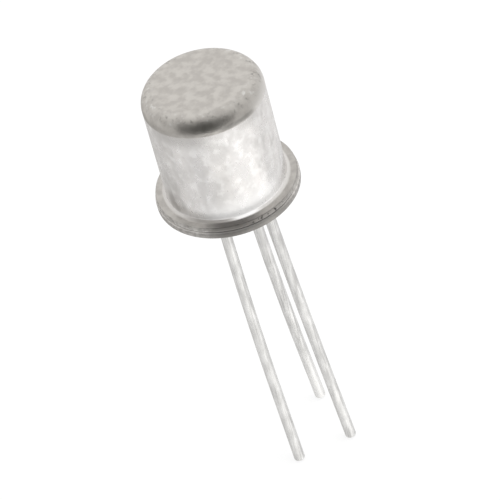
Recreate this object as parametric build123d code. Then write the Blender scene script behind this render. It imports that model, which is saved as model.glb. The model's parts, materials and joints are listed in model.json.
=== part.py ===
"""A small-signal transistor in a sealed metal can with three wire leads.

The can is a drawn cap welded by its flange to a glass-filled header. The header is a stamped
eyelet with a flange, a locating tab and two holes in its top; the glass holds the leads in it
and insulates them. The collector lead is brazed under the eyelet's top, and the other two pass
through to stand as posts beside the silicon die, each joined to it by a bond wire.

Millimetres, +Z towards the top of the can. z = 0 is the seating plane, the underside of the
header's flange, and the Z axis is the can's own axis. Angles are in degrees about Z, from +X.
"""

from build123d import *
from math import atan2, pi, radians, tan
import os

# Can: one thin sheet drawn into a cap, with its rim turned out as a flange. The welding electrode
# has pressed the flange flat, but not the strip next to the wall, which still slopes a little.
can_diameter = 4.61
can_sheet = 0.20
can_flange_width = 0.395
shoulder_radius = 0.60
can_foot_radius = 0.05
sloped_strip_width = 0.16
sloped_strip_drop = 0.07
pressed_edge_radius = 0.05
overall_height = 5.22

# Header eyelet: a shallow stamped cup, open downwards, that fits inside the can. Its flange is a
# step wider than the can's.
header_sheet = 0.25
header_height = 1.20
eyelet_clearance = 0.105
header_flange_step = 0.05
eyelet_shoulder_radius = 0.30
eyelet_foot_radius = 0.08
flange_edge_radius = 0.03
weld_ridge_height = 0.02
weld_ridge_width = 0.17

# Locating tab, halfway between the empty place on the pin circle and the emitter lead
tab_width = 1.04
tab_reach = 0.95
tab_angle = 135
tab_corner_radius = 0.12
tab_root_radius = 0.15

# Leads: round wire on three of the four places of the pin circle
pin_circle_diameter = 2.54
lead_diameter = 0.43
lead_length = 13.25
lead_end_rounding = 0.05
straight_below_seat = 0.45
root_bend_radius = 3.0
straight_tip = 3.2
post_height = 0.45
post_head_diameter = 0.62
post_head_thickness = 0.10

# Each lead's place on the pin circle, the way it leans, and its lean just below the header and
# at its tip. The leads splay a little and lean to one side together, as handled wires do.
emitter = {"place": 90, "leans_towards": 67, "root_lean": 2.3, "tip_lean": 5.8}
base = {"place": 0, "leans_towards": 9, "root_lean": 3.7, "tip_lean": 4.9}
collector = {"place": 270, "leans_towards": 1.5, "root_lean": 0.8, "tip_lean": 3.1}

# Glass seal in the eyelet and in its two holes, round each lead with a gap for the glass
seal_gap = 0.175
seal_recess = 0.12
meniscus_height = 0.07
meniscus_width = 0.10

# Silicon die on a solder preform, and the bond wires from it to the posts
die_side = 0.50
die_thickness = 0.20
preform_margin = 0.07
preform_thickness = 0.03
bond_wire_diameter = 0.04
bond_pad_offset = 0.13
bond_ball_diameter = 0.11
bond_ball_height = 0.04
bond_foot_diameter = 0.12
bond_foot_height = 0.03

# Heights and radii that follow from the sizes above
can_radius = can_diameter / 2
can_flange_radius = can_radius + can_flange_width
can_flange_underside = header_sheet + weld_ridge_height
can_flange_top = can_flange_underside + can_sheet
can_foot_height = can_flange_top + sloped_strip_drop
pressed_edge = can_radius + sloped_strip_width
eyelet_radius = can_radius - can_sheet - eyelet_clearance
eyelet_ceiling = header_height - header_sheet
header_flange_radius = can_flange_radius + header_flange_step
mid_flange_radius = (eyelet_radius + header_flange_radius) / 2
pin_circle_radius = pin_circle_diameter / 2
lead_radius = lead_diameter / 2
seal_hole_radius = lead_radius + seal_gap
preform_top = header_height + preform_thickness
die_top = preform_top + die_thickness
post_top = header_height + post_height

STANDING = (Align.CENTER, Align.CENTER, Align.MIN)


def rounded_outline(corners):
    """A flat face through (radius, height, rounding) corners, each rounded by its own radius."""
    outline = make_face(Polyline([(r, z) for r, z, _ in corners], close=True))
    for r, z, rounding in corners:
        if rounding > 0:
            corner = outline.vertices().sort_by_distance((r, z, 0))[0]
            outline = fillet(corner, rounding)
    return outline


def turned(half_section):
    """The solid that a half section sweeps in one turn about the Z axis."""
    return revolve(Plane.XZ * half_section, axis=Axis.Z)


def on_pin_circle(lead):
    """Where a lead crosses the seating plane."""
    return Vector(pin_circle_radius, 0, 0).rotate(Axis.Z, lead["place"])


def make_can():
    """The cap. Both faces of each bend share one centre, so the sheet keeps its thickness."""
    slope = atan2(sloped_strip_drop, sloped_strip_width)
    foot_offset = can_sheet * tan((pi / 2 - slope) / 2)
    pressed_edge_offset = can_sheet * tan(slope / 2)
    half_section = rounded_outline(
        [
            (0, overall_height, 0),
            (can_radius, overall_height, shoulder_radius),
            (can_radius, can_foot_height, can_foot_radius),
            (pressed_edge, can_flange_top, pressed_edge_radius),
            (can_flange_radius, can_flange_top, flange_edge_radius),
            (can_flange_radius, can_flange_underside, flange_edge_radius),
            (pressed_edge - pressed_edge_offset, can_flange_underside, pressed_edge_radius + can_sheet),
            (can_radius - can_sheet, can_foot_height - foot_offset, can_foot_radius + can_sheet),
            (can_radius - can_sheet, overall_height - can_sheet, shoulder_radius - can_sheet),
            (0, overall_height - can_sheet, 0),
        ]
    )
    return turned(half_section)


def eyelet_section():
    """Half section of the header's eyelet, out to halfway across its flange."""
    return rounded_outline(
        [
            (0, header_height, 0),
            (eyelet_radius, header_height, eyelet_shoulder_radius),
            (eyelet_radius, header_sheet, eyelet_foot_radius),
            (mid_flange_radius, header_sheet, 0),
            (mid_flange_radius, 0, 0),
            (eyelet_radius - header_sheet, 0, eyelet_foot_radius + header_sheet),
            (eyelet_radius - header_sheet, eyelet_ceiling, eyelet_shoulder_radius - header_sheet),
            (0, eyelet_ceiling, 0),
        ]
    )


def make_header_flange():
    """The flat ring round the eyelet, stamped in one outline with the locating tab."""
    tab = Rectangle(header_flange_radius + tab_reach, tab_width, align=(Align.MIN, Align.CENTER))
    tab = fillet(tab.vertices().group_by(Axis.X)[-1], tab_corner_radius)
    blank = Circle(header_flange_radius) + tab
    tab_roots = blank.vertices().sort_by_distance((0, 0, 0))[:2]
    blank = fillet(tab_roots, tab_root_radius)
    plate = extrude(blank, header_sheet)
    plate = fillet(plate.faces().filter_by(Axis.Z).edges(), flange_edge_radius)
    eyelet_opening = Cylinder(mid_flange_radius, header_sheet, align=STANDING)
    return Rot(0, 0, tab_angle) * (plate - eyelet_opening)


def make_weld_ridge():
    """The low ring that the can's flange is welded down on, midway across its pressed part."""
    middle = (pressed_edge + can_flange_radius - flange_edge_radius) / 2
    ring = Circle(middle + weld_ridge_width / 2) - Circle(middle - weld_ridge_width / 2)
    return Pos(0, 0, header_sheet) * extrude(ring, weld_ridge_height)


def make_header_shell():
    shell = turned(eyelet_section()) + make_header_flange() + make_weld_ridge()
    for lead in (emitter, base):
        hole = Cylinder(seal_hole_radius, header_height, align=STANDING)
        shell -= Pos(on_pin_circle(lead)) * hole
    return shell


def make_glass_seal():
    """Glass run into the eyelet from below, up through its two holes, and a little up each lead."""
    mouth = eyelet_radius + eyelet_foot_radius
    depth = eyelet_ceiling - seal_recess
    fill = Pos(0, seal_recess) * Rectangle(mouth, depth, align=Align.MIN)
    inside_the_eyelet = (fill - eyelet_section()).faces().sort_by(Axis.X)[0]
    glass = turned(inside_the_eyelet)
    for lead in (emitter, base):
        plug = Cylinder(seal_hole_radius, header_sheet, align=STANDING)
        glass += Pos(on_pin_circle(lead)) * Pos(0, 0, eyelet_ceiling) * plug
    for lead in (emitter, base, collector):
        collar = Cone(lead_radius, lead_radius + meniscus_width, meniscus_height, align=STANDING)
        glass += Pos(on_pin_circle(lead)) * Pos(0, 0, seal_recess - meniscus_height) * collar
        bore = Cylinder(lead_radius, header_height, align=STANDING)
        glass -= Pos(on_pin_circle(lead)) * bore
    return glass


def lead_line(lead, top):
    """Centre line of a lead from its top, straight through the seal, then bending to its lean.

    It is drawn in the upright plane through the lead's place that holds its lean. A short bend
    sets it off, a long bow takes it to its final lean, and its tip is straight.
    """
    sideways = Vector(1, 0, 0).rotate(Axis.Z, lead["leans_towards"])
    bend_plane = Plane(on_pin_circle(lead), x_dir=sideways, z_dir=sideways.cross(Vector(0, 0, 1)))
    bow_angle = lead["tip_lean"] - lead["root_lean"]
    root_bend_length = root_bend_radius * radians(lead["root_lean"])
    bow_length = lead_length - straight_below_seat - root_bend_length - straight_tip
    through_seal = Line((0, top), (0, -straight_below_seat))
    root_bend = JernArc(through_seal @ 1, through_seal % 1, root_bend_radius, lead["root_lean"])
    bow = JernArc(root_bend @ 1, root_bend % 1, bow_length / radians(bow_angle), bow_angle)
    tip = Line(bow @ 1, bow @ 1 + straight_tip * (bow % 1))
    return bend_plane * (through_seal + root_bend + bow + tip)


def make_lead(lead, top):
    """Round wire along its line, with its cut end just broken."""
    line = lead_line(lead, top)
    start = Plane(line @ 0, z_dir=line % 0)
    wire = sweep(start * Circle(lead_radius), path=line)
    cut_end = wire.edges().filter_by(GeomType.CIRCLE).sort_by(Axis.Z)[0]
    return fillet(cut_end, lead_end_rounding)


def make_post_lead(lead):
    """A lead that stands above the header as a post, its top coined to a flat head."""
    head = Cylinder(post_head_diameter / 2, post_head_thickness, align=STANDING)
    head = Pos(0, 0, post_top - post_head_thickness) * head
    return make_lead(lead, post_top) + Pos(on_pin_circle(lead)) * head


def make_preform():
    side = die_side + 2 * preform_margin
    return Pos(0, 0, header_height) * Box(side, side, preform_thickness, align=STANDING)


def make_die():
    return Pos(0, 0, preform_top) * Box(die_side, die_side, die_thickness, align=STANDING)


def make_bond_wire(lead):
    """Fine wire that rises from a ball on the die and arcs over to a flattened foot on a post."""
    arc_start = (bond_pad_offset, die_top + bond_ball_height / 2)
    arc_end = (pin_circle_radius, post_top + bond_foot_height / 2)
    arc = Plane.XZ * TangentArc(arc_start, arc_end, tangent=(0, 1))
    wire = sweep(Plane(arc @ 0, z_dir=arc % 0) * Circle(bond_wire_diameter / 2), path=arc)
    ball = Cylinder(bond_ball_diameter / 2, bond_ball_height, align=STANDING)
    foot = Cylinder(bond_foot_diameter / 2, bond_foot_height, align=STANDING)
    ball = Pos(bond_pad_offset, 0, die_top) * ball
    foot = Pos(pin_circle_radius, 0, post_top) * foot
    return Rot(0, 0, lead["place"]) * (wire + ball + foot)


parts = {
    "can": make_can(),
    "header_shell": make_header_shell(),
    "glass_seal": make_glass_seal(),
    "emitter_lead": make_post_lead(emitter),
    "base_lead": make_post_lead(base),
    "collector_lead": make_lead(collector, eyelet_ceiling),
    "die_preform": make_preform(),
    "silicon_die": make_die(),
    "emitter_bond_wire": make_bond_wire(emitter),
    "base_bond_wire": make_bond_wire(base),
}

os.makedirs("parts", exist_ok=True)
for name, part in parts.items():
    export_step(part, f"parts/{name}.step")
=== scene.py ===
# %% [markdown]
# # A pnp transistor in a small metal can
# This lesson dresses a transistor whose solids were made in a CAD program. The real thing is a
# drawn metal cap, welded by its flange to a glass-filled header, with three tinned wires below.
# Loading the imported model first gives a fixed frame: every later piece takes its place from it,
# so nothing has to be fitted by eye.

# %% Load the frame
import json
import math

import bmesh
import bpy
from mathutils import Matrix, Vector

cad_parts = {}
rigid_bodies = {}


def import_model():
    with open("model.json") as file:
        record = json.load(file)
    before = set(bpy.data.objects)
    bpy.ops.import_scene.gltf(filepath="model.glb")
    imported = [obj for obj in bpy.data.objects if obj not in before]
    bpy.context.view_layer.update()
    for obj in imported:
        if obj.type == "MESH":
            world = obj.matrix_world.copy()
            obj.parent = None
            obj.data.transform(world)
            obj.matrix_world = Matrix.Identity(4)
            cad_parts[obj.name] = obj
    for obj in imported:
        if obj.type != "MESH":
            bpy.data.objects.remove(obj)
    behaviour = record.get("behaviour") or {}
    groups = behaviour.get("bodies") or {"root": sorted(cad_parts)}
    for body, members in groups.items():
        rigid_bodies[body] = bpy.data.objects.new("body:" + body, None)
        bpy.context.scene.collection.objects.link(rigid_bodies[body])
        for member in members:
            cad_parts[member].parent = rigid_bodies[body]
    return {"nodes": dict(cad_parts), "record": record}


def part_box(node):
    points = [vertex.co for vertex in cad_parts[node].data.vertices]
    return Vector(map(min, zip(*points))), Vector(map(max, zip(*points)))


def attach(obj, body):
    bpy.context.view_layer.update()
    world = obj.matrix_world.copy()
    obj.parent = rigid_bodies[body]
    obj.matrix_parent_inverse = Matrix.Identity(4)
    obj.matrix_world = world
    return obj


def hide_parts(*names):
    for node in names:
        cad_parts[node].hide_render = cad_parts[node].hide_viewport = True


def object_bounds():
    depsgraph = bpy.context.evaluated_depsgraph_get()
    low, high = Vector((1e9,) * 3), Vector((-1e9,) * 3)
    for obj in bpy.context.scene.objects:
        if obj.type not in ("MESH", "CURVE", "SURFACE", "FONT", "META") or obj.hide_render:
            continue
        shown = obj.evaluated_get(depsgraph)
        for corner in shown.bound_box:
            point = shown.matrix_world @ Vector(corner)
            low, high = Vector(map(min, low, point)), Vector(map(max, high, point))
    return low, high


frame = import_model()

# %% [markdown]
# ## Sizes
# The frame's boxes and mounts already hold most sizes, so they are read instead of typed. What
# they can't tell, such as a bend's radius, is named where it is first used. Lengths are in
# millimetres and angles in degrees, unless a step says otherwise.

cad_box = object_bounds()
MM = 0.001
mounts = {mount["name"]: mount for mount in frame["record"]["mounts"]}


def box_mm(node):
    """A CAD node's lowest and highest corner, in millimetres."""
    low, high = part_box(node)
    return low / MM, high / MM


can_low, can_high = box_mm("can")
can_top = can_high.z
can_flange_radius = can_high.x
can_flange_underside = can_low.z
can_radius = mounts["heatsink_wall"]["dims"]["r_mm"]
header_top = box_mm("header_shell")[1].z
lead_radius = mounts["base_pin"]["dims"]["r_mm"]
print(f"can {2 * can_radius:.2f} mm across, its top {can_top:.2f} mm above its seat")
print(f"leads {2 * lead_radius:.2f} mm thick")

# %% [markdown]
# ## Helpers for modelling by hand
# Blender's operators act on whatever is selected, so a helper that picks clears all else first.
# Several operators treat points closer than a tenth of a millimetre as one. This object is only
# five millimetres wide, so each piece is modelled a thousand times too big, with one unit to the
# millimetre, and is shrunk into the frame when it is finished. Points, edges and faces are picked
# by their place, which stays true when an earlier step changes how they are numbered.

# %% Helpers for opening a piece and picking its parts
CLOSE = 0.001
REAL_CORNER = 60


def deselect_everything():
    for thing in bpy.context.view_layer.objects:
        thing.select_set(False)


def name_piece(name):
    """Names the primitive just added, places it by its mesh, and opens it with nothing picked."""
    piece = bpy.context.object
    piece.name = piece.data.name = name
    bpy.ops.object.transform_apply(location=True, rotation=True, scale=True)
    size = piece.dimensions
    print(f"{name}: begins {size.x:.2f} x {size.y:.2f} x {size.z:.2f} mm")
    bpy.ops.object.mode_set(mode="EDIT")
    bpy.ops.mesh.select_all(action="DESELECT")
    return piece


def pick(kind, passes, corner_only=False):
    """Selects each VERT, EDGE or FACE whose corners all pass the test.

    With corner_only, an edge counts only where its two faces meet at a real corner.
    """
    bpy.ops.mesh.select_mode(type=kind)
    bpy.ops.mesh.select_all(action="DESELECT")
    mesh = bmesh.from_edit_mesh(bpy.context.object.data)
    elements = {"VERT": mesh.verts, "EDGE": mesh.edges, "FACE": mesh.faces}[kind]
    for element in elements:
        corners = [element] if kind == "VERT" else element.verts
        wanted = all(passes(corner.co) for corner in corners)
        if wanted and corner_only:
            wanted = element.calc_face_angle(0) > math.radians(REAL_CORNER)
        if wanted:
            element.select_set(True)
    mesh.select_flush_mode()
    bmesh.update_edit_mesh(bpy.context.object.data)


def off_axis(p):
    """How far a point is from the can's axis."""
    return math.hypot(p.x, p.y)


def level_with(height):
    """A test for points at one height."""
    return lambda p: abs(p.z - height) < CLOSE


def on_ring(radius, height):
    """A test for points on one circle about the can's axis."""
    return lambda p: abs(off_axis(p) - radius) < CLOSE and abs(p.z - height) < CLOSE


# %% [markdown]
# Nearly every form of this object grows out of a ring of edges. Pulling a ring makes a wall,
# pulling and widening it makes a flange, and bevelling it where two walls meet makes a bend.

# %% Helpers for pulling, widening and rounding
def extrude(x=0, y=0, z=0):
    bpy.ops.mesh.extrude_region_move(TRANSFORM_OT_translate={"value": (x, y, z)})


def widen(ratio, centre=(0, 0, 0)):
    """Scales what is picked about a point, level."""
    bpy.ops.transform.resize(value=(ratio, ratio, 1), center_override=centre)


def extrude_ring(radius_now, radius_next, rise=0, centre=(0, 0, 0)):
    """Pulls a picked ring out or in to another radius, and up or down."""
    extrude(z=rise)
    widen(radius_next / radius_now, centre)


def round_edges(offset, segments):
    bpy.ops.mesh.bevel(offset=offset, offset_type="OFFSET", segments=segments, affect="EDGES")


# %% [markdown]
# ## The can
# The real can is one disc of thin sheet, pressed into a cap in a few strokes, and its rim is
# turned out for welding. The welding electrode pressed the rim flat, but not the strip next to
# the wall, which still slopes. A bend is bevelled out of a sharp corner, so what has to be known
# is how far along the sheet the bend reaches from that corner.

# %% Name the can's sizes
can_sheet = 0.20
shoulder_radius = 0.60
can_foot_radius = 0.05
sloped_strip_width = 0.16
sloped_strip_drop = 0.07
pressed_edge_radius = 0.05
flange_edge_radius = 0.03

can_flange_top = can_flange_underside + can_sheet
can_foot_height = can_flange_top + sloped_strip_drop
pressed_edge = can_radius + sloped_strip_width
strip_slope = math.atan2(sloped_strip_drop, sloped_strip_width)
foot_reach = can_foot_radius * math.tan((math.pi / 2 - strip_slope) / 2)
pressed_edge_reach = pressed_edge_radius * math.tan(strip_slope / 2)
print(f"the strip slopes {math.degrees(strip_slope):.1f} degrees")
print(f"the bends beside it reach {foot_reach:.3f} mm and {pressed_edge_reach:.3f} mm")

# %% [markdown]
# Spinning a drawn profile would make the can too, but a tube shaped by its own edges is quicker
# to change: pull the open rim out twice for the strip and the flange, then bevel their bends and
# the top edge, which becomes the shoulder.

# %% Model the can's skin
ROUND = 256

deselect_everything()
bpy.ops.mesh.primitive_cylinder_add(
    vertices=ROUND,
    radius=can_radius,
    depth=can_top - can_foot_height,
    location=(0, 0, (can_top + can_foot_height) / 2),
)
can = name_piece("can_cap")
pick("FACE", level_with(can_foot_height))
bpy.ops.mesh.delete(type="ONLY_FACE")
pick("EDGE", on_ring(can_radius, can_foot_height))
extrude_ring(can_radius, pressed_edge, rise=-sloped_strip_drop)
extrude_ring(pressed_edge, can_flange_radius)
pick("EDGE", on_ring(can_radius, can_foot_height))
round_edges(foot_reach, segments=5)
pick("EDGE", on_ring(pressed_edge, can_flange_top))
round_edges(pressed_edge_reach, segments=3)
pick("EDGE", on_ring(can_radius, can_top))
round_edges(shoulder_radius, segments=24)

# %% [markdown]
# The wall is still one tall band of faces. Cutting it across gives it an even net of faces, which
# shades more smoothly than slivers do, and steps inwards do the same for the flat top.

# %% Divide the wall and the top
UP = (0, 0, 1)
WALL_RINGS = 40
TOP_RINGS = 16

wall_foot = can_foot_height + foot_reach
wall_head = can_top - shoulder_radius
for ring in range(1, WALL_RINGS):
    height = wall_foot + (wall_head - wall_foot) * ring / WALL_RINGS
    bpy.ops.mesh.select_all(action="SELECT")
    bpy.ops.mesh.bisect(plane_co=(0, 0, height), plane_no=UP)
top_radius = can_radius - shoulder_radius
top_step = top_radius / (TOP_RINGS + 1)
for ring in range(TOP_RINGS):
    inside = top_radius - ring * top_step + CLOSE
    pick("FACE", lambda p: abs(p.z - can_top) < CLOSE and off_axis(p) < inside)
    bpy.ops.mesh.inset(thickness=top_step)
print(f"the wall runs from {wall_foot:.2f} to {wall_head:.2f} mm above the seat")

# %% [markdown]
# ### Helpers for closing a piece
# A finished piece is shrunk into the frame and smoothed, and is tied to the CAD model: the body it
# moves with and the node it takes the place of. Counting its open edges shows whether its skin is
# closed, which a picture of it can't.

# %% Helpers for thickening, closing and measuring a piece
SMOOTH_BELOW = 40


def face_outwards():
    """Turns every face of the open piece outwards."""
    bpy.ops.mesh.select_all(action="SELECT")
    bpy.ops.mesh.normals_make_consistent(inside=False)


def thicken(piece, sheet):
    """Gives a skin the sheet's thickness, inwards, and makes it part of the mesh."""
    bpy.ops.object.mode_set(mode="OBJECT")
    modifier = piece.modifiers.new("Solidify", "SOLIDIFY")
    modifier.thickness = sheet
    modifier.offset = -1
    modifier.use_even_offset = True
    bpy.ops.object.modifier_apply(modifier=modifier.name)
    bpy.ops.object.mode_set(mode="EDIT")


def report(piece):
    """Prints the piece's size, and how many of its edges don't have exactly two faces."""
    mesh = bmesh.new()
    mesh.from_mesh(piece.data)
    loose = sum(1 for edge in mesh.edges if len(edge.link_faces) != 2)
    triangles = sum(len(face.verts) - 2 for face in mesh.faces)
    volume = mesh.calc_volume(signed=True) / MM ** 3
    mesh.free()
    size = piece.dimensions / MM
    print(f"{piece.name}: {size.x:.2f} x {size.y:.2f} x {size.z:.2f} mm, {volume:.2f} mm3,"
          f" {triangles} triangles, {loose} open edges")


def close_piece(piece, body="root", stands_for=()):
    """Shrinks a finished piece into the frame, smooths it and ties it to the CAD model."""
    bpy.ops.object.mode_set(mode="OBJECT")
    deselect_everything()
    piece.select_set(True)
    bpy.context.view_layer.objects.active = piece
    piece.scale = (MM, MM, MM)
    bpy.ops.object.transform_apply(location=True, rotation=True, scale=True)
    bpy.ops.object.shade_smooth_by_angle(angle=math.radians(SMOOTH_BELOW))
    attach(piece, body)
    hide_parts(*stands_for)
    report(piece)


# %% [markdown]
# So far the can is a skin without thickness. Solidify gives it the sheet's, measured inwards, and
# only then has the flange two edges to round.

# %% Thicken the can and close it
face_outwards()
thicken(can, can_sheet)
pick("EDGE", lambda p: off_axis(p) > can_flange_radius - CLOSE, corner_only=True)
round_edges(flange_edge_radius, segments=4)
close_piece(can, stands_for=["can"])

# %% [markdown]
# ## The header
# The header is stamped from thicker sheet: a flat outline with a locating tab, and a shallow cup
# that reaches up inside the can. The cup is pulled out of a ring by its edges, like the can. The
# two rings round it leave a narrow band of the sheet that a later step raises into a ridge.

# %% Start the header's skin with the ring round its cup
header_sheet = 0.25
eyelet_radius = 2.00
eyelet_shoulder_radius = 0.30
eyelet_foot_radius = 0.08
header_flange_radius = 2.75
weld_ridge_height = can_flange_underside - header_sheet
weld_ridge_width = 0.17
ridge_middle = (pressed_edge + can_flange_radius - flange_edge_radius) / 2
ridge_inside = ridge_middle - weld_ridge_width / 2
ridge_outside = ridge_middle + weld_ridge_width / 2

deselect_everything()
bpy.ops.mesh.primitive_circle_add(vertices=ROUND, radius=eyelet_radius, location=(0, 0, header_sheet))
header = name_piece("header_cup_and_flange")
pick("EDGE", on_ring(eyelet_radius, header_sheet))
extrude_ring(eyelet_radius, ridge_inside)
extrude_ring(ridge_inside, ridge_outside)
pick("EDGE", on_ring(eyelet_radius, header_sheet))
extrude(z=header_top - header_sheet)
bpy.ops.mesh.edge_face_add()
round_edges(eyelet_shoulder_radius, segments=10)
pick("EDGE", on_ring(eyelet_radius, header_sheet))
round_edges(eyelet_foot_radius, segments=5)
print(f"the ridge will be {weld_ridge_width} mm wide and {weld_ridge_height:.2f} mm high")

# %% [markdown]
# Two of the three leads pass through holes in the cup's top. A flat face with holes is made by
# taking the face away, adding a circle for each hole, and filling what lies between the edges.

# %% Open the seal's holes in the cup's top
WIRE_ROUND = 48
tab_angle = 135
pin_circle_radius = 1.27
seal_hole_radius = 0.39
lead_places = {"emitter": 90, "base": 0, "collector": 270}


def around(angle, radius, height=0):
    """The point at this angle, radius and height round the can's axis."""
    turn = math.radians(angle)
    return Vector((radius * math.cos(turn), radius * math.sin(turn), height))


def add_ring(radius, centre, sides):
    """Adds a ring of edges to the piece that is open, and leaves only that ring picked."""
    bpy.ops.mesh.select_mode(type="EDGE")
    bpy.ops.mesh.select_all(action="DESELECT")
    bpy.ops.mesh.primitive_circle_add(vertices=sides, radius=radius, location=centre)


pick("FACE", level_with(header_top))
bpy.ops.mesh.delete(type="ONLY_FACE")
for name in ("emitter", "base"):
    centre = around(lead_places[name] - tab_angle, pin_circle_radius, header_top)
    add_ring(seal_hole_radius, centre, WIRE_ROUND)
    print(f"hole for the {name} lead at {centre.x:.2f}, {centre.y:.2f} mm")
pick("EDGE", level_with(header_top))
bpy.ops.mesh.fill()

# %% [markdown]
# The outline has exact arcs where the tab leaves the disc, which a cut-out would only come near.
# So half of it is drawn as a chain of points: one point is pulled straight or swept about the
# centre of each arc in turn, and the half is then mirrored. The tab points along +X for now.

# %% Draw the flange's outline with its tab
tab_width = 1.04
tab_reach = 0.95
tab_corner_radius = 0.12
tab_root_radius = 0.15

tab_end = header_flange_radius + tab_reach
half_width = tab_width / 2
root_height = half_width + tab_root_radius
root_x = math.sqrt((header_flange_radius + tab_root_radius) ** 2 - root_height ** 2)
root_angle = math.degrees(math.atan2(root_height, root_x))
corner_centre = (tab_end - tab_corner_radius, half_width - tab_corner_radius, header_sheet)
root_centre = (root_x, root_height, header_sheet)
disc_centre = (0, 0, header_sheet)


def sweep_arc(centre, axis, degrees, steps):
    """Carries what is picked along an arc, turning by the right-hand rule about the axis."""
    bpy.ops.mesh.spin(steps=steps, angle=-math.radians(degrees), center=centre, axis=axis)


# A small circle that is merged at its centre is the chain's first point.
bpy.ops.mesh.select_mode(type="VERT")
bpy.ops.mesh.select_all(action="DESELECT")
bpy.ops.mesh.primitive_circle_add(vertices=3, radius=tab_width, location=(tab_end, 0, header_sheet))
bpy.ops.mesh.merge(type="CENTER")
extrude(y=half_width - tab_corner_radius)
sweep_arc(corner_centre, UP, degrees=90, steps=6)
extrude(x=root_x - (tab_end - tab_corner_radius))
sweep_arc(root_centre, UP, degrees=root_angle - 90, steps=8)
sweep_arc(disc_centre, UP, degrees=180 - root_angle, steps=ROUND // 2)
pick("EDGE", lambda p: off_axis(p) > ridge_outside + CLOSE)
bpy.ops.mesh.duplicate()
bpy.ops.transform.resize(value=(1, -1, 1), center_override=(0, 0, 0))
print(f"the tab is {tab_width} mm wide and ends {tab_end:.2f} mm from the axis")

# %% [markdown]
# The outline and the ring are joined into one skin, which then gets the sheet's thickness. The
# low ridge that the can is welded down on is raised last, out of the solid's upper face.

# %% Join the skin, thicken it and finish its edges
def in_ridge(p):
    """A test for points on the band of the upper face that becomes the ridge."""
    beside = abs(off_axis(p) - ridge_middle)
    return beside < weld_ridge_width / 2 + CLOSE and p.z > header_sheet - CLOSE


bpy.ops.mesh.select_all(action="SELECT")
bpy.ops.mesh.remove_doubles(threshold=CLOSE)
pick("EDGE", lambda p: off_axis(p) > ridge_outside - CLOSE and abs(p.z - header_sheet) < CLOSE)
bpy.ops.mesh.fill()
face_outwards()
thicken(header, header_sheet)
pick("EDGE", lambda p: off_axis(p) > ridge_outside + CLOSE, corner_only=True)
round_edges(flange_edge_radius, segments=4)
pick("FACE", in_ridge)
extrude(z=weld_ridge_height)
bpy.ops.object.mode_set(mode="OBJECT")
header.rotation_euler.z = math.radians(tab_angle)
close_piece(header, stands_for=["header_shell"])

# %% [markdown]
# ## The glass seal
# Glass is melted into the cup and takes its shape, so its sizes follow from the header's. Every
# surface of it is pulled out of one ring, first down the cup's rounded mouth in short steps and
# then up to the cup's top.

# %% Model the body of the glass
MOUTH_STEPS = 6
seal_recess = 0.12
seal_top = header_top - header_sheet
bore_radius = eyelet_radius - header_sheet
foot_bend = eyelet_foot_radius + header_sheet
inner_shoulder = eyelet_shoulder_radius - header_sheet
mouth_angle = math.asin((foot_bend - seal_recess) / foot_bend)


def mouth_ring(step):
    """Radius and height of the glass where it follows the cup's rounded mouth."""
    angle = mouth_angle * step / MOUTH_STEPS
    return bore_radius + foot_bend * (1 - math.cos(angle)), foot_bend * (1 - math.sin(angle))


deselect_everything()
bpy.ops.mesh.primitive_circle_add(vertices=ROUND, radius=bore_radius, location=(0, 0, foot_bend))
glass = name_piece("glass_fill")
pick("EDGE", on_ring(bore_radius, foot_bend))
for step in range(MOUTH_STEPS):
    radius_now, height_now = mouth_ring(step)
    radius_next, height_next = mouth_ring(step + 1)
    extrude_ring(radius_now, radius_next, rise=height_next - height_now)
pick("EDGE", on_ring(bore_radius, foot_bend))
extrude(z=seal_top - foot_bend)
bpy.ops.mesh.edge_face_add()
round_edges(inner_shoulder, segments=4)
pick("FACE", level_with(seal_top))
bpy.ops.mesh.delete(type="ONLY_FACE")
print(f"the glass lies {seal_recess} mm inside the mouth, and its top at {seal_top:.2f} mm")

# %% [markdown]
# Melted glass wets metal, so it creeps a little way down each lead in a smooth hollow curve. The
# curve is a run of ever narrower rings, and the last ring goes on upwards as the bore round the
# lead. Two of the bores widen into the holes of the cup's top, which the glass fills as well.

# %% Carry the glass round the leads
MENISCUS_STEPS = 8
meniscus_height = 0.07
meniscus_width = 0.10

for name, place in lead_places.items():
    centre = around(place, pin_circle_radius, seal_recess)
    radius_now = lead_radius + meniscus_width
    add_ring(radius_now, centre, WIRE_ROUND)
    for step in range(1, MENISCUS_STEPS + 1):
        turn = math.pi / 2 * step / MENISCUS_STEPS
        radius_next = lead_radius + meniscus_width * (1 - math.sin(turn))
        drop = meniscus_height * (math.cos(turn) - math.cos(turn - math.pi / 2 / MENISCUS_STEPS))
        extrude_ring(radius_now, radius_next, rise=drop, centre=centre)
        radius_now = radius_next
    bore_top = seal_top if name == "collector" else header_top
    extrude(z=bore_top - seal_recess + meniscus_height)
    if name != "collector":
        extrude_ring(lead_radius, seal_hole_radius, centre=centre)
        extrude(z=seal_top - header_top)
for height in (seal_recess, seal_top):
    pick("EDGE", level_with(height))
    bpy.ops.mesh.fill()
face_outwards()
close_piece(glass, stands_for=["glass_seal"])

# %% [markdown]
# ## The leads
# A lead is round wire that was straight once. Handling has set it off just below the seal and
# bowed it gently along its length. Its section is a ring of edges: pulling it makes a straight
# run, and sweeping it about a far centre makes a bend. The frame's pin mounts say where each
# straight tip ends up, which gives the bow's radius.

# %% Name the leads' sizes
post_top = box_mm("base_lead")[1].z
post_head_radius = 0.31
post_head_thickness = 0.10
straight_below_seat = 0.45
root_bend_radius = 3.0
lead_end_rounding = 0.05
root_leans = {"emitter": 2.3, "base": 3.7, "collector": 0.8}
for name, lean in root_leans.items():
    length = mounts[name + "_pin"]["dims"]["length_mm"]
    print(f"{name} lead: leans {lean} degrees at its root, straight for {length} mm at its tip")

# %% [markdown]
# One function models all three leads, since they differ only in their place, their leans and in
# what they start with: two have a flat coined head inside the can, and the third starts plain.

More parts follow.
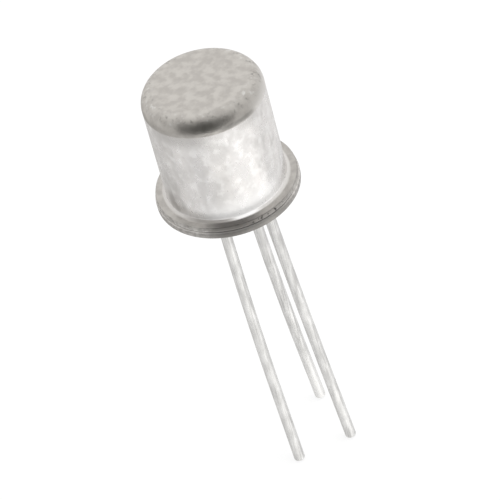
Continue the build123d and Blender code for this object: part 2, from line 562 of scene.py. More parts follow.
# %% Model the leads
DOWN = Vector((0, 0, -1))


def model_lead(name):
    """Pulls and sweeps one lead's ring from its top end to its tip."""
    pin = mounts[name + "_pin"]
    tip_heading = Vector(pin["axis"])
    tip_length = pin["dims"]["length_mm"]
    tip_start = Vector(pin["pos_m"]) / MM - tip_heading * tip_length / 2
    sideways = Vector((tip_heading.x, tip_heading.y, 0)).normalized()
    bend_axis = DOWN.cross(sideways)
    root_lean = root_leans[name]
    bow_angle = math.degrees(DOWN.angle(tip_heading)) - root_lean
    is_post = name != "collector"
    top = around(lead_places[name], pin_circle_radius, post_top if is_post else seal_top)
    top_radius = post_head_radius if is_post else lead_radius

    deselect_everything()
    bpy.ops.mesh.primitive_circle_add(vertices=WIRE_ROUND, radius=top_radius, location=top)
    lead = name_piece(name + "_wire")
    bpy.ops.mesh.select_all(action="SELECT")
    straight = top.z + straight_below_seat
    if is_post:
        extrude(z=-post_head_thickness)
        extrude_ring(post_head_radius, lead_radius, centre=top)
        straight -= post_head_thickness
    extrude(z=-straight)
    root_start = Vector((top.x, top.y, -straight_below_seat))
    sweep_arc(root_start + sideways * root_bend_radius, bend_axis, root_lean, steps=4)
    turn = Matrix.Rotation(math.radians(root_lean), 3, bend_axis)
    root_end = root_start + (sideways - turn @ sideways) * root_bend_radius
    bow_radius = (tip_start - root_end).length / (2 * math.sin(math.radians(bow_angle / 2)))
    sweep_arc(root_end + turn @ sideways * bow_radius, bend_axis, bow_angle, steps=24)
    extrude(*tip_heading * (tip_length + lead_end_rounding))
    bpy.ops.mesh.edge_face_add()
    round_edges(lead_end_rounding, segments=4)
    pick("EDGE", level_with(top.z))
    bpy.ops.mesh.edge_face_add()
    face_outwards()
    close_piece(lead, stands_for=[name + "_lead"])
    print(f"  it leans {root_lean + bow_angle:.2f} degrees at its tip, after a bow of radius"
          f" {bow_radius:.1f} mm")
    return lead


leads = [model_lead(name) for name in lead_places]

# %% [markdown]
# ## Finishes
# Every finish is a small network of nodes. A few of them do nearly all the work here: noise makes
# a pattern, Map Range turns part of a value into a share from 0 to 1, and Mix lays one colour over
# another by such a share. Helpers for these steps serve the surroundings and the table too.

# %% Helpers for joining shader nodes
# A Mix node has sockets for numbers and vectors too, so its colours are found by their place.
FIRST_COLOUR, SECOND_COLOUR, MIXED_COLOUR = 6, 7, 2


class Nodes:
    """A tree of shader nodes, with helpers that add nodes and join them."""

    def __init__(self, tree):
        self.tree = tree

    def add(self, kind, **settings):
        node = self.tree.nodes.new(kind)
        for name, value in settings.items():
            setattr(node, name, value)
        return node

    def link(self, socket_from, node, socket_to):
        self.tree.links.new(socket_from, node.inputs[socket_to])

    def feed(self, value, node, socket):
        """Gives an input a socket to read, a colour or a number."""
        if isinstance(value, bpy.types.NodeSocket):
            self.link(value, node, socket)
        elif isinstance(value, tuple):
            node.inputs[socket].default_value = (*value, 1)
        else:
            node.inputs[socket].default_value = value

    def spread(self, value, low, high, to_low=0, to_high=1):
        """Maps low..high of a value to another range, easing at both ends."""
        spread = self.add("ShaderNodeMapRange", interpolation_type="SMOOTHSTEP")
        self.link(value, spread, "Value")
        spread.inputs["From Min"].default_value = low
        spread.inputs["From Max"].default_value = high
        spread.inputs["To Min"].default_value = to_low
        spread.inputs["To Max"].default_value = to_high
        return spread.outputs["Result"]

    def blend(self, share, first, second):
        """Mixes two colours, given as values or as sockets, by a share."""
        mix = self.add("ShaderNodeMix", data_type="RGBA")
        self.link(share, mix, "Factor")
        self.feed(first, mix, FIRST_COLOUR)
        self.feed(second, mix, SECOND_COLOUR)
        return mix.outputs[MIXED_COLOUR]

    def choose(self, share, first, second):
        """Mixes two shaders: the first where the share is 0, the second where it is 1."""
        mix = self.add("ShaderNodeMixShader")
        self.link(share, mix, "Fac")
        self.link(first.outputs[0], mix, 1)
        self.link(second.outputs[0], mix, 2)
        return mix

    def combine(self, how, first, second=0):
        """Works on two values, or on one, in a way that a Math node knows."""
        result = self.add("ShaderNodeMath", operation=how)
        self.feed(first, result, 0)
        self.feed(second, result, 1)
        return result.outputs["Value"]

    def plus(self, first, second):
        return self.combine("ADD", first, second)

    def times(self, first, second):
        return self.combine("MULTIPLY", first, second)

    def less(self, first, second):
        return self.combine("SUBTRACT", first, second)

    def larger(self, first, second):
        return self.combine("MAXIMUM", first, second)

    def gap(self, value, middle):
        """How far a value is from this middle value, either way."""
        return self.combine("ABSOLUTE", self.less(value, middle))


# %% [markdown]
# Each finish starts from the piece's own coordinates, turned into millimetres, so that a pattern
# has a real size and stays on the piece. Noise then varies the colour and the roughness a little,
# and lifts or dips the surface.

# %% Helpers for finishes
class Finish(Nodes):
    """A material with a metal or glass shader, and a millimetre grid to hang patterns on."""

    def __init__(self, name, metallic):
        self.material = bpy.data.materials.new(name)
        self.material.use_nodes = True
        super().__init__(self.material.node_tree)
        self.shader = self.tree.nodes["Principled BSDF"]
        self.shader.inputs["Metallic"].default_value = metallic
        place = self.add("ShaderNodeTexCoord").outputs["Object"]
        self.grid = self.stretched(place, (1 / MM, 1 / MM, 1 / MM))

    def stretched(self, place, scale):
        """The same place, measured on a grid that is finer or coarser along each axis."""
        mapping = self.add("ShaderNodeMapping")
        mapping.inputs["Scale"].default_value = scale
        self.link(place, mapping, "Vector")
        return mapping.outputs["Vector"]

    def noise(self, per_mm, detail, upright=1):
        """Smooth noise from 0 to 1, with about this many patches to the millimetre.

        A value of upright below 1 draws the patches out along the can's axis.
        """
        noise = self.add("ShaderNodeTexNoise")
        noise.inputs["Scale"].default_value = per_mm
        noise.inputs["Detail"].default_value = detail
        grid = self.grid if upright == 1 else self.stretched(self.grid, (1, 1, upright))
        self.link(grid, noise, "Vector")
        return noise.outputs["Fac"]

    def height(self):
        """How high a point is above the seat, in millimetres."""
        split = self.add("ShaderNodeSeparateXYZ")
        self.link(self.grid, split, "Vector")
        return split.outputs["Z"]

    def from_axis(self):
        """How far a point is from the can's axis, in millimetres."""
        flat = self.add("ShaderNodeVectorMath", operation="LENGTH")
        self.link(self.stretched(self.grid, (1, 1, 0)), flat, "Vector")
        return flat.outputs["Value"]

    def near(self, point, inner, outer):
        """A share that is 1 within one distance of a point and eases to 0 at another."""
        reach = self.add("ShaderNodeVectorMath", operation="DISTANCE")
        reach.inputs[1].default_value = point
        self.link(self.grid, reach, 0)
        return self.spread(reach.outputs["Value"], outer, inner)

    def colour(self, socket):
        self.link(socket, self.shader, "Base Color")

    def metal(self, socket):
        self.link(socket, self.shader, "Metallic")

    def roughness(self, socket):
        self.link(socket, self.shader, "Roughness")

    def relief(self, value, depth_mm):
        """Lifts the surface by this depth where the value is 1, and more where it is higher."""
        bump = self.add("ShaderNodeBump")
        bump.inputs["Distance"].default_value = depth_mm * MM
        self.link(value, bump, "Height")
        self.link(bump.outputs["Normal"], self.shader, "Normal")

    def tell(self, look):
        """Prints what the material now has, and how many nodes that takes."""
        print(f"{self.material.name} now has {look}: {len(self.tree.nodes)} nodes")

    def paint(self, *pieces):
        for piece in pieces:
            piece.data.materials.clear()
            piece.data.materials.append(self.material)
        print(f"{self.material.name} on", ", ".join(piece.name for piece in pieces))


# %% [markdown]
# ## The can's finish
# The can is nickel plated sheet, and it wears several looks at once. The punch pressed its top and
# shoulder, so they are dull and mottled. Its wall slid along the die, so it is satin. The welding
# electrode flattened the flange, which is painted darker on one side as shade. Painted highlights
# and painted shade lie on the wall, the strip and the shoulder too. One material can carry them
# all, as the real sheet carries its finishes: each look gets a share from 0 to 1, which says where
# it is. Some shares come from height, some from the distance to the axis, and some from the
# distance to a point.

# %% Start the can's material with its measures and patterns
nickel = Finish("satin_nickel", metallic=1.0)
above_seat = nickel.height()
from_axis = nickel.from_axis()
mottle = nickel.noise(2.9, detail=3)
speckle = nickel.noise(11, detail=3)
spots = nickel.noise(5.5, detail=1)
smear = nickel.noise(1.1, detail=4, upright=0.45)
scuff = nickel.noise(2.6, detail=3, upright=0.5)
frost = nickel.noise(3.4, detail=3, upright=0.8)
nickel.tell("its measures and six noises")

# %% [markdown]
# The wall slid along the die, which left it satin, but not evenly. Smears run up and down it, some
# scuffs are greyer and some patches are frosted. An image could hold such marks, but noise needs
# no file and keeps its size on the piece. Each look is laid over the one before it.

# %% Colour the wall's satin
SATIN = (0.78, 0.76, 0.745)
SMEARED = (0.70, 0.685, 0.675)
SCUFFED = (0.665, 0.65, 0.635)
FROSTED = (0.93, 0.92, 0.91)

wall_colour = nickel.blend(nickel.spread(smear, 0.40, 0.60), SATIN, SMEARED)
wall_colour = nickel.blend(nickel.spread(scuff, 0.50, 0.70), wall_colour, SCUFFED)
frosted = nickel.spread(frost, 0.46, 0.66, to_high=0.5)
wall_colour = nickel.blend(frosted, wall_colour, FROSTED)
nickel.tell("smears, scuffs and frost")

# %% [markdown]
# Other marks have a place of their own, so each is a share that fades with the distance to a
# point. Just above the flange a painted highlight makes the wall almost white on one side, and it
# fades upwards. Low on another side is painted shade, a dark patch with a fainter one above it,
# and scuffs break them both up. Two patches right under the shoulder are painted shade, darker
# than the wall round them.

# %% Lay the marks on the wall
FOOT_HIGHLIGHT = (0.91, 0.90, 0.89)
SIDE_SHADE = (0.44, 0.425, 0.41)
HEAD_SHADE = (0.57, 0.555, 0.54)
FOOT_HIGHLIGHT_PLACE = around(312, can_radius, wall_foot)
FOOT_HIGHLIGHT_HEIGHT = 1.20
LOW_SIDE_SHADE_PLACE = around(236, can_radius, 1.02)
HIGH_SIDE_SHADE_PLACE = around(236, can_radius, 1.80)
HIGH_SIDE_SHADE_SHARE = 0.35
LEFT_HEAD_SHADE_PLACE = around(264, can_radius, wall_head)
RIGHT_HEAD_SHADE_PLACE = around(329, can_radius, wall_head)

# Painted highlight: the wall's foot is painted almost white on one side, fading upwards.
low_on_wall = nickel.spread(above_seat, wall_foot + FOOT_HIGHLIGHT_HEIGHT, wall_foot)
highlight_side = nickel.near(FOOT_HIGHLIGHT_PLACE, inner=0.9, outer=2.4)
foot_highlight = nickel.times(low_on_wall, highlight_side)
wall_colour = nickel.blend(foot_highlight, wall_colour, FOOT_HIGHLIGHT)

# Painted shade: a dark patch low on one side and a fainter one above it, broken up by scuffs.
streaks = nickel.spread(scuff, 0.36, 0.58, to_low=0.35)
low_side_shade = nickel.near(LOW_SIDE_SHADE_PLACE, inner=0.15, outer=0.78)
high_side_shade = nickel.times(nickel.near(HIGH_SIDE_SHADE_PLACE, inner=0.20, outer=0.90), HIGH_SIDE_SHADE_SHARE)
side_shaded = nickel.times(streaks, nickel.larger(low_side_shade, high_side_shade))
wall_colour = nickel.blend(side_shaded, wall_colour, SIDE_SHADE)

# Painted shade: two darker patches right under the shoulder.
high_on_wall = nickel.spread(above_seat, wall_head - 0.85, wall_head - 0.25)
left_head = nickel.near(LEFT_HEAD_SHADE_PLACE, inner=0.6, outer=1.5)
right_head = nickel.near(RIGHT_HEAD_SHADE_PLACE, inner=0.2, outer=0.9)
shaded_head = nickel.times(high_on_wall, nickel.larger(left_head, right_head))
wall_colour = nickel.blend(shaded_head, wall_colour, HEAD_SHADE)
# The foot, smudges and dull patches named here are a painted highlight and painted shade.
nickel.tell("a rubbed foot, smudges and dull patches")

# %% [markdown]
# The sloped strip between the wall and the flange is a narrow mirror that scatters a little light.
# It has painted shade towards one side, and in one place a painted highlight so pale that it mostly
# scatters there. It is found by its distance from the axis, between the wall and the edge of the
# pressed flange.

# %% Colour the sloped strip
STRIP = (0.84, 0.82, 0.80)
SHADED_STRIP = (0.46, 0.44, 0.42)
STRIP_HIGHLIGHT = (0.95, 0.94, 0.93)
SHADED_PLACE = around(272, pressed_edge, can_flange_top)
STRIP_HIGHLIGHT_PLACE = around(306, pressed_edge, can_flange_top)
LEAST_SCATTER, MOST_SCATTER = 0.3, 0.8

on_strip = nickel.spread(from_axis, can_radius, can_radius + 0.03)
on_flange = nickel.spread(from_axis, pressed_edge - 0.07, pressed_edge)
strip_alone = nickel.less(on_strip, on_flange)
# Painted shade on one side of the strip, and a painted highlight in one place.
shaded = nickel.near(SHADED_PLACE, inner=0.3, outer=1.4)
strip_highlight = nickel.near(STRIP_HIGHLIGHT_PLACE, inner=0.20, outer=0.78)
strip_scatter = nickel.times(nickel.spread(strip_highlight, 0, 1, LEAST_SCATTER, MOST_SCATTER), strip_alone)
strip_colour = nickel.blend(shaded, STRIP, SHADED_STRIP)
strip_colour = nickel.blend(strip_highlight, strip_colour, STRIP_HIGHLIGHT)
wall_colour = nickel.blend(on_strip, wall_colour, strip_colour)
nickel.tell("the sloped strip")

# %% [markdown]
# The punch left the flat top a mottled light grey, and the shoulder's bend darker. Both are one
# noise between two greys, and height tells the bend from the top.

# %% Colour the top and its shoulder
FLAT_DARK, FLAT_LIGHT = (0.68, 0.655, 0.625), (0.815, 0.79, 0.755)
BEND_DARK, BEND_LIGHT = (0.50, 0.48, 0.455), (0.62, 0.60, 0.57)

on_top = nickel.spread(above_seat, wall_head - 0.11, wall_head - 0.07)
on_bend = nickel.spread(above_seat, wall_head + 0.30, wall_head + 0.02)
flat_colour = nickel.blend(nickel.spread(mottle, 0.34, 0.66), FLAT_DARK, FLAT_LIGHT)
bend_colour = nickel.blend(nickel.spread(mottle, 0.30, 0.70), BEND_DARK, BEND_LIGHT)
top_colour = nickel.blend(on_bend, flat_colour, bend_colour)
nickel.tell("the top and the shoulder's bend")

# %% [markdown]
# The low part of the bend has a painted highlight on one side. Painted glints, bright spots
# that stand for small highlights, lie with dark pits from handling along the line where the top
# turns over, so a ring about the axis keeps them near it. At the bend's foot, where the wall
# begins, a short edge is dark.

# %% Lay the marks on the shoulder
BEND_HIGHLIGHT = (0.87, 0.85, 0.825)
GLINT = (0.95, 0.94, 0.92)
DARK_PIT = (0.46, 0.45, 0.43)
DARK_EDGE = (0.34, 0.33, 0.315)
BEND_HIGHLIGHT_PLACE = around(8, can_radius, wall_head + 0.10)
DARK_EDGE_PLACE = around(322, can_radius, wall_head)
TURNING_RADIUS = can_radius - shoulder_radius / 2

# Painted highlight: the low part of the bend is paler on one side.
low_bend = nickel.spread(above_seat, wall_head + 0.52, wall_head + 0.15)
bend_highlight_side = nickel.near(BEND_HIGHLIGHT_PLACE, inner=0.7, outer=1.45)
top_colour = nickel.blend(nickel.times(low_bend, bend_highlight_side), top_colour, BEND_HIGHLIGHT)

# Painted glints: bright spots along the turning line stand for small highlights.
turning_line = nickel.spread(nickel.gap(from_axis, TURNING_RADIUS), 0.30, 0.08)
highlit = nickel.times(nickel.spread(spots, 0.55, 0.80), turning_line)
pitted = nickel.times(nickel.spread(spots, 0.42, 0.20), turning_line)
top_colour = nickel.blend(highlit, top_colour, GLINT)
top_colour = nickel.blend(pitted, top_colour, DARK_PIT)

edge_line = nickel.spread(nickel.gap(above_seat, wall_head + 0.02), 0.14, 0.02)
edge_side = nickel.near(DARK_EDGE_PLACE, inner=0.35, outer=0.95)
top_colour = nickel.blend(nickel.times(edge_line, edge_side), top_colour, DARK_EDGE)
nickel.tell("the shoulder's pale side, spots, pits and dark edge")

# %% [markdown]
# Both flanges get painted shade, darkest at one point and fainter beside it. The weld's heat also
# squeezed a dull crust out of the gap between them. Both flanges need these shares, so they are
# functions of a finish.

# %% Say where the flanges' painted shade and the weld's crust lie
FLANGE_SHADE_PLACE = around(294, can_flange_radius, can_flange_underside)
FAINT_SHADE_PLACE = around(320, can_flange_radius, can_flange_underside)
CRUST_SCATTER = 0.6


# Painted shade: the flanges are darkest round this point.
def flange_shade(finish):
    return finish.near(FLANGE_SHADE_PLACE, inner=0.4, outer=1.5)


# Fainter painted shade round a second point.
def faint_flange_shade(finish):
    return finish.near(FAINT_SHADE_PLACE, inner=0.4, outer=1.7)


def weld_crust(finish):
    """A share that is 1 on the dull crust squeezed out between the two flanges."""
    level = finish.spread(finish.gap(finish.height(), can_flange_underside), 0.06, 0.04)
    outside = finish.spread(finish.from_axis(), can_flange_radius - 0.10, can_flange_radius - 0.06)
    return finish.times(level, outside)


for mark, place in (("painted_shade", FLANGE_SHADE_PLACE), ("fainter_painted_shade", FAINT_SHADE_PLACE)):
    print(f"weld {mark} round {place.x:.2f}, {place.y:.2f}, {place.z:.2f} mm")

# %% [markdown]
# The flange was pressed flat and is a plain grey, slightly mottled. Its rim is the cut edge of the
# sheet, and its grey is more broken. Both take the faint and the dark painted shade, each with
# colours of its own, and where the rim has the faint painted shade the weld has spattered it with
# dark specks.

# %% Colour the can's flange and its rim
FLANGE_DARK, FLANGE_LIGHT = (0.62, 0.60, 0.575), (0.74, 0.72, 0.69)
FLANGE_FAINT_SHADE, FLANGE_SHADE = (0.56, 0.54, 0.515), (0.22, 0.21, 0.20)
RIM_DARK, RIM_LIGHT = (0.56, 0.545, 0.525), (0.78, 0.765, 0.74)
RIM_FAINT_SHADE, RIM_SHADE = (0.52, 0.505, 0.485), (0.33, 0.315, 0.30)
SPATTER = (0.14, 0.135, 0.13)

# Painted shade on the can's flange and its rim, dark at one point and faint beside it.
flange_shaded = flange_shade(nickel)
faintly_shaded = faint_flange_shade(nickel)
flange_colour = nickel.blend(nickel.spread(mottle, 0.35, 0.65), FLANGE_DARK, FLANGE_LIGHT)
flange_colour = nickel.blend(faintly_shaded, flange_colour, FLANGE_FAINT_SHADE)
flange_colour = nickel.blend(flange_shaded, flange_colour, FLANGE_SHADE)

on_rim = nickel.spread(from_axis, can_flange_radius - 0.04, can_flange_radius - 0.01)
rim_colour = nickel.blend(nickel.spread(spots, 0.30, 0.70), RIM_DARK, RIM_LIGHT)
rim_colour = nickel.blend(faintly_shaded, rim_colour, RIM_FAINT_SHADE)
rim_colour = nickel.blend(flange_shaded, rim_colour, RIM_SHADE)
spattered = nickel.times(nickel.spread(spots, 0.57, 0.66), faintly_shaded)
rim_colour = nickel.blend(spattered, rim_colour, SPATTER)
nickel.tell("the flange and its rim")

# %% [markdown]
# The colours are now joined by their shares, and so is the metal. A satin wall scatters some
# light, so it is only part mirror, and less so where its foot has the painted highlight. The pressed
# parts are all mirror, apart from the strip, which scatters most at its painted highlight, and the
# weld's crust.

# %% Join the can's colours and its metal
WALL_METAL = 0.66
FOOT_SCATTER = 0.42

shell_colour = nickel.blend(on_top, wall_colour, top_colour)
sheet_colour = nickel.blend(on_flange, shell_colour, flange_colour)
nickel.colour(nickel.blend(on_rim, sheet_colour, rim_colour))

pressed = nickel.larger(on_top, on_strip)
wall_metal = nickel.less(WALL_METAL, nickel.times(foot_highlight, FOOT_SCATTER))
pressed_metal = nickel.less(pressed, strip_scatter)
clean_metal = nickel.larger(wall_metal, pressed_metal)
nickel.metal(nickel.less(clean_metal, nickel.times(weld_crust(nickel), CRUST_SCATTER)))
nickel.tell("its colour and metal joined")

# %% [markdown]
# Roughness and relief come last. The pressed parts are rougher than the wall, and the cut rim is
# the roughest. The relief is shallow: long smears on the wall, and mottles and fine grain on the
# pressed parts, which break up the dark band that the shoulder mirrors.

# %% Give the can its roughness and relief, and paint it
SATIN_ROUGHNESS = (0.26, 0.34)
PRESSED_ROUGHER = 0.12
RIM_ROUGHER = 0.20
SMEAR_WEIGHT = 4.0
CAN_RELIEF = 0.006

wall_roughness = nickel.spread(scuff, 0.35, 0.65, *SATIN_ROUGHNESS)
coarser = nickel.plus(nickel.times(pressed, PRESSED_ROUGHER), nickel.times(on_rim, RIM_ROUGHER))
nickel.roughness(nickel.plus(wall_roughness, coarser))
pressed_relief = nickel.times(nickel.plus(mottle, speckle), pressed)
wall_relief = nickel.plus(nickel.times(smear, SMEAR_WEIGHT), scuff)
nickel.relief(nickel.plus(pressed_relief, wall_relief), CAN_RELIEF)
nickel.paint(can)

# %% [markdown]
# ## The other finishes
# The header has the same plating over rougher sheet. Its rim is darker, with a thin scale from the
# weld, but the tab outside the rim stayed clean. The painted shade of the can's flange, faint and
# dark, carries on over it.

# %% Finish the header
SHEET_DARK, SHEET_LIGHT = (0.56, 0.54, 0.52), (0.68, 0.66, 0.63)
SCALE_DARK, SCALE_LIGHT = (0.40, 0.385, 0.37), (0.64, 0.62, 0.60)
EDGE_FAINT_SHADE, EDGE_SHADE = (0.30, 0.29, 0.275), (0.25, 0.24, 0.23)
SHEET_ROUGHNESS = (0.34, 0.48)
SHEET_RELIEF = 0.004

plating = Finish("header_plating", metallic=1.0)
grain = plating.noise(6, detail=4)
out_to = plating.from_axis()
near_rim = plating.spread(out_to, header_flange_radius - 0.02, header_flange_radius - 0.005)
past_rim = plating.spread(out_to, header_flange_radius + 0.01, header_flange_radius + 0.06)
plain_sheet = plating.blend(plating.spread(grain, 0.35, 0.65), SHEET_DARK, SHEET_LIGHT)
scaled_rim = plating.blend(plating.spread(grain, 0.32, 0.68), SCALE_DARK, SCALE_LIGHT)
plating_colour = plating.blend(plating.less(near_rim, past_rim), plain_sheet, scaled_rim)
# The flanges' painted shade carries on over the header's edge.
plating_colour = plating.blend(faint_flange_shade(plating), plating_colour, EDGE_FAINT_SHADE)
plating_colour = plating.blend(flange_shade(plating), plating_colour, EDGE_SHADE)
plating.colour(plating_colour)
plating.metal(plating.less(1.0, plating.times(weld_crust(plating), CRUST_SCATTER)))
plating.roughness(plating.spread(grain, 0.3, 0.7, *SHEET_ROUGHNESS))
plating.relief(grain, SHEET_RELIEF)
plating.paint(header)

# %% [markdown]
# The leads were dipped in tin. It left them pale and bright, with darker streaks along the drawn
# wire and a slight ripple where the tin ran, so both noises are drawn out along the wire. The end
# of one lead has a painted highlight, which makes it paler. Dipped tin scatters light too, so it is
# about half mirror.

# %% Finish the leads
TIN_DARK, TIN_LIGHT = (0.66, 0.655, 0.645), (0.79, 0.785, 0.775)
TIN_STREAK = (0.50, 0.495, 0.485)
TIN_TIP_HIGHLIGHT = (0.85, 0.845, 0.835)
STREAK_SHARE = 0.7
TIN_ROUGHNESS = (0.26, 0.38)
TIN_RELIEF = 0.006

tin = Finish("bright_tin", metallic=0.55)
drawn_lines = tin.noise(14, detail=3, upright=0.04)
ripple = tin.noise(3.6, detail=3, upright=0.4)
streaked = tin.spread(drawn_lines, 0.50, 0.66, to_high=STREAK_SHARE)
tin_colour = tin.blend(tin.spread(ripple, 0.35, 0.65), TIN_DARK, TIN_LIGHT)
tin_colour = tin.blend(streaked, tin_colour, TIN_STREAK)
# Painted highlight: the end of one lead is painted paler.
emitter_pin = mounts["emitter_pin"]
pin_middle = Vector(emitter_pin["pos_m"]) / MM
emitter_tip = pin_middle + Vector(emitter_pin["axis"]) * emitter_pin["dims"]["length_mm"] / 2
tip_highlight = tin.near(emitter_tip, inner=0.6, outer=3.2)
tin.colour(tin.blend(tip_highlight, tin_colour, TIN_TIP_HIGHLIGHT))
tin.roughness(tin.spread(drawn_lines, 0.3, 0.7, *TIN_ROUGHNESS))
tin.relief(tin.plus(drawn_lines, ripple), TIN_RELIEF)
tin.paint(*leads)

# %% [markdown]
# The sealing glass is dark grey-green and glossy, with soft clouds in its colour. It is opaque
# here: so dark a glass shows nothing behind it, and a solid colour renders sooner.

# %% Finish the glass
GLASS_DARK, GLASS_LIGHT = (0.020, 0.032, 0.028), (0.045, 0.062, 0.055)
GLASS_ROUGHNESS = (0.10, 0.18)
GLASS_RELIEF = 0.004
GLASS_IOR = 1.52

seal = Finish("sealing_glass", metallic=0.0)
seal.shader.inputs["IOR"].default_value = GLASS_IOR
clouds = seal.noise(2, detail=3)
seal.colour(seal.blend(seal.spread(clouds, 0.3, 0.7), GLASS_DARK, GLASS_LIGHT))
seal.roughness(seal.spread(clouds, 0.3, 0.7, *GLASS_ROUGHNESS))
seal.relief(clouds, GLASS_RELIEF)
seal.paint(glass)

# %% [markdown]
# Inside the sealed can are a gold preform, a polished silicon die and two gold wires. Their CAD
# shapes are right, so they only take a finish. The die's noise has sharp steps between two greys,
# as the lines between the parts of a chip have.

# %% Finish what is inside the can
GOLD_DARK, GOLD_LIGHT = (0.80, 0.55, 0.20), (0.92, 0.68, 0.32)
GOLD_ROUGHNESS = (0.18, 0.30)
GOLD_RELIEF = 0.001
SILICON_DARK, SILICON_LIGHT = (0.05, 0.055, 0.075), (0.09, 0.095, 0.12)
SILICON_ROUGHNESS = (0.08, 0.16)

gold = Finish("soft_gold", metallic=1.0)
gold_grain = gold.noise(20, detail=3)
gold.colour(gold.blend(gold.spread(gold_grain, 0.3, 0.7), GOLD_DARK, GOLD_LIGHT))
gold.roughness(gold.spread(gold_grain, 0.3, 0.7, *GOLD_ROUGHNESS))
gold.relief(gold_grain, GOLD_RELIEF)
gold_nodes = ("die_preform", "emitter_bond_wire", "base_bond_wire")
gold.paint(*(frame["nodes"][node] for node in gold_nodes))

silicon = Finish("polished_silicon", metallic=0.6)
streets = silicon.noise(12, detail=1)
silicon.colour(silicon.blend(silicon.spread(streets, 0.45, 0.55), SILICON_DARK, SILICON_LIGHT))
silicon.roughness(silicon.spread(streets, 0.3, 0.7, *SILICON_ROUGHNESS))
silicon.paint(frame["nodes"]["silicon_die"])

# %% [markdown]
# ## Surroundings, table, lamp and camera
# Metal has no look of its own: it shows what is around it, so the surroundings are part of the
# finish. A picture of a real room could do this, but a few soft areas of plain colour need no file
# and are easy to move. Each area is named by how far it lies to the right of the camera and above
# the horizon, as seen from the object, and fades out between two angles from its middle.

# %% Start the studio, with a way to name its directions
CAMERA_TURN = 27.06

world = bpy.data.worlds.new("studio")
bpy.context.scene.world = world
world.use_nodes = True
world.node_tree.nodes.clear()
studio = Nodes(world.node_tree)
look_direction = studio.add("ShaderNodeTexCoord").outputs["Generated"]


def seen_from_camera(right_of_camera, elevation):
    """A direction from the object, given as degrees right of the camera and above the horizon."""
    angle = math.radians(right_of_camera - 90 + CAMERA_TURN)
    rise = math.radians(elevation)
    return math.cos(angle) * math.cos(rise), math.sin(angle) * math.cos(rise), math.sin(rise)


def soft_area(direction, inner, outer):
    """A share that is 1 near a direction and eases to 0, between two angles from it."""
    nearness = studio.add("ShaderNodeVectorMath", operation="DOT_PRODUCT")
    nearness.inputs[1].default_value = direction
    studio.link(look_direction, nearness, 0)
    edge_cosines = (math.cos(math.radians(angle)) for angle in (outer, inner))
    return studio.spread(nearness.outputs["Value"], *edge_cosines)


print("level direction towards the camera:", [round(part, 2) for part in seen_from_camera(0, 0)])

# %% [markdown]
# This transistor stands over a pale table that is brighter on one side, in a light grey room with
# one dark area behind the camera. That area draws the dark band round the can's shoulder. The
# table ends below the horizon towards the camera, and reaches the horizon on the far side.

# %% Paint the room and the table that the metal mirrors
ROOM, FAR_WALL = (0.56, 0.55, 0.535), (0.74, 0.73, 0.715)
DARK_ROOM = (0.04, 0.04, 0.035)
TABLE, TABLE_SHADE = (0.80, 0.795, 0.79), (0.60, 0.59, 0.575)
TABLE_BRIGHT, TABLE_BRIGHTEST = (1.14, 1.13, 1.10), (1.50, 1.49, 1.47)

far_wall = soft_area(seen_from_camera(180, 35), inner=25, outer=70)
behind_camera = soft_area(seen_from_camera(-12, 18), inner=36, outer=58)
room = studio.blend(far_wall, ROOM, FAR_WALL)
room = studio.blend(behind_camera, room, DARK_ROOM)

far_left = soft_area(seen_from_camera(-140, -30), inner=20, outer=60)
near_right = soft_area(seen_from_camera(20, -42), inner=18, outer=46)
brightest_place = soft_area(seen_from_camera(44, -42), inner=12, outer=30)
table_top = studio.blend(far_left, TABLE, TABLE_SHADE)
table_top = studio.blend(near_right, table_top, TABLE_BRIGHT)
table_top = studio.blend(brightest_place, table_top, TABLE_BRIGHTEST)

over_near_edge = soft_area(UP, inner=116, outer=124)
over_far_edge = soft_area(UP, inner=85, outer=105)
far_side = soft_area(seen_from_camera(180, 0), inner=40, outer=90)
above_table = studio.blend(far_side, over_near_edge, over_far_edge)
surroundings = studio.blend(above_table, table_top, room)
print(f"the studio has {len(studio.tree.nodes)} nodes")

# %% [markdown]
# Only rays that a glossy surface mirrors see this studio. All other rays see plain white, so the
# surroundings don't tint the light on the object, and what lies behind it stays white.

# %% Show the studio to glossy surfaces only
WHITE = (1, 1, 1)

seen_by_metal = studio.add("ShaderNodeBackground")
studio.feed(surroundings, seen_by_metal, "Color")
plain_white = studio.add("ShaderNodeBackground")
studio.feed(WHITE, plain_white, "Color")
glossy_ray = studio.add("ShaderNodeLightPath").outputs["Is Glossy Ray"]
which = studio.choose(glossy_ray, plain_white, seen_by_metal)
studio.link(which.outputs[0], studio.add("ShaderNodeOutputWorld"), "Surface")
print("glossy rays see the studio, all others see", WHITE)

# %% [markdown]
# A plain sheet lies just under the tips of the leads and takes the object's shadow. It is staging
# and not a piece, so its half width is in metres, which is Blender's own unit. It reaches so far
# past the object that no border shows, and metal doesn't mirror it.

# %% Lay the table
TABLE_HALF_WIDTH = 2.0
TABLE_GAP = 0.05

table_height = cad_box[0].z - TABLE_GAP * MM
deselect_everything()
bpy.ops.mesh.primitive_plane_add(size=2 * TABLE_HALF_WIDTH, location=(0, 0, table_height))
table = bpy.context.object
table.name = "table"
table.visible_glossy = False
print(f"table {-table_height / MM:.2f} mm below the seat")

# %% [markdown]
# The sheet is white paper. Lit paper alone would look grey where the lamp is weak, so most of what
# the camera sees is a white of its own, and the rest shows the shadow faintly. From below the
# paper is clear, so that it doesn't hide the object.

# %% Cover the table with white paper
PAPER = (0.95, 0.95, 0.95)
OWN_WHITE_SHARE = 0.8

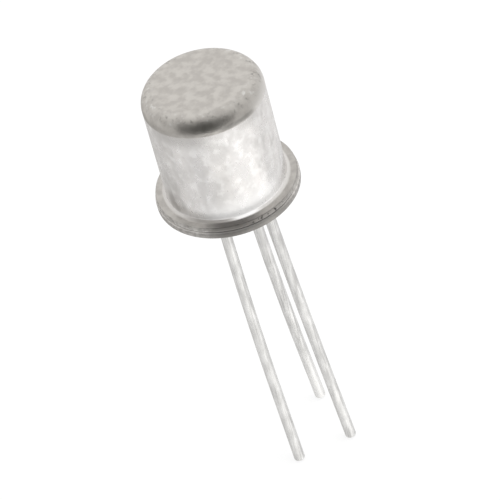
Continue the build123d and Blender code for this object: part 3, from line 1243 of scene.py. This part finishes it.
paper_material = bpy.data.materials.new("white_paper")
paper_material.use_nodes = True
paper_material.node_tree.nodes.clear()
paper = Nodes(paper_material.node_tree)
lit = paper.add("ShaderNodeBsdfDiffuse")
paper.feed(PAPER, lit, "Color")
own_white = paper.add("ShaderNodeEmission")
paper.feed(WHITE, own_white, "Color")
paper.feed(1.0, own_white, "Strength")
camera_ray = paper.add("ShaderNodeLightPath").outputs["Is Camera Ray"]
from_above = paper.choose(paper.times(camera_ray, OWN_WHITE_SHARE), lit, own_white)
clear = paper.add("ShaderNodeBsdfTransparent")
seen_below = paper.add("ShaderNodeNewGeometry").outputs["Backfacing"]
either_side = paper.choose(seen_below, from_above, clear)
paper.link(either_side.outputs[0], paper.add("ShaderNodeOutputMaterial"), "Surface")
table.data.materials.append(paper_material)
print(f"{paper_material.name} on {table.name}: {len(paper.tree.nodes)} nodes")

# %% [markdown]
# One large disc of light hangs high on one side and adds a soft shadow to the even light of the
# white world. Metal would mirror the disc as a hard spot, so the lamp is hidden from it. Its
# place and width are in metres too.

# %% Hang the lamp
LAMP_PLACE = (0.10, 0.02, 0.22)
LAMP_WIDTH = 0.20
LAMP_ENERGY = 0.25

bpy.ops.object.light_add(type="AREA", location=LAMP_PLACE)
lamp = bpy.context.object
lamp.name = "soft_box"
lamp.data.shape = "DISK"
lamp.data.size = LAMP_WIDTH
lamp.data.energy = LAMP_ENERGY
lamp.visible_glossy = False
lamp.rotation_euler = (-lamp.location).to_track_quat("-Z", "Y").to_euler()
print(f"lamp {lamp.location.length / MM:.0f} mm away, {LAMP_WIDTH / MM:.0f} mm across")

# %% [markdown]
# A long lens, about 13 centimetres away, shows so small a part with little perspective. The
# camera's place is a distance from the can's axis and a height above the seat. It tips down by
# its pitch, turns a trace sideways by its yaw, and its roll leans the upright can over in the
# view. These turns give its right, up and forward directions, from which its matrix is made. Its
# lens is in millimetres and the nearest distance that it sees is in metres.

# %% Place the camera
CAMERA_BACK = 99.40
CAMERA_HEIGHT = 83.79
CAMERA_PITCH = 41.20
CAMERA_YAW = 0.088
CAMERA_ROLL = -15.40
CAMERA_LENS = 251.1
NEAREST_SEEN = 0.01

pitch, yaw, roll = (math.radians(angle) for angle in (CAMERA_PITCH, CAMERA_YAW, CAMERA_ROLL))
turn = Matrix.Rotation(math.radians(CAMERA_TURN), 3, "Z")
ahead, aside, down = math.cos(yaw) * math.cos(pitch), math.sin(yaw) * math.cos(pitch), -math.sin(pitch)
forward = turn @ Vector((aside, ahead, down))
level_right = forward.cross(Vector(UP)).normalized()
level_up = level_right.cross(forward)
right = math.cos(roll) * level_right + math.sin(roll) * level_up
up = math.cos(roll) * level_up - math.sin(roll) * level_right
place = turn @ Vector((0, -CAMERA_BACK, CAMERA_HEIGHT)) * MM
camera = bpy.data.objects.new("camera", bpy.data.cameras.new("camera"))
bpy.context.scene.collection.objects.link(camera)
camera.matrix_world = Matrix.Translation(place) @ Matrix((right, up, -forward)).transposed().to_4x4()
camera.data.lens = CAMERA_LENS
camera.data.clip_start = NEAREST_SEEN
bpy.context.scene.camera = camera
bpy.context.scene.view_settings.view_transform = "Standard"
print(f"camera {place.length / MM:.0f} mm away, lens {CAMERA_LENS} mm")
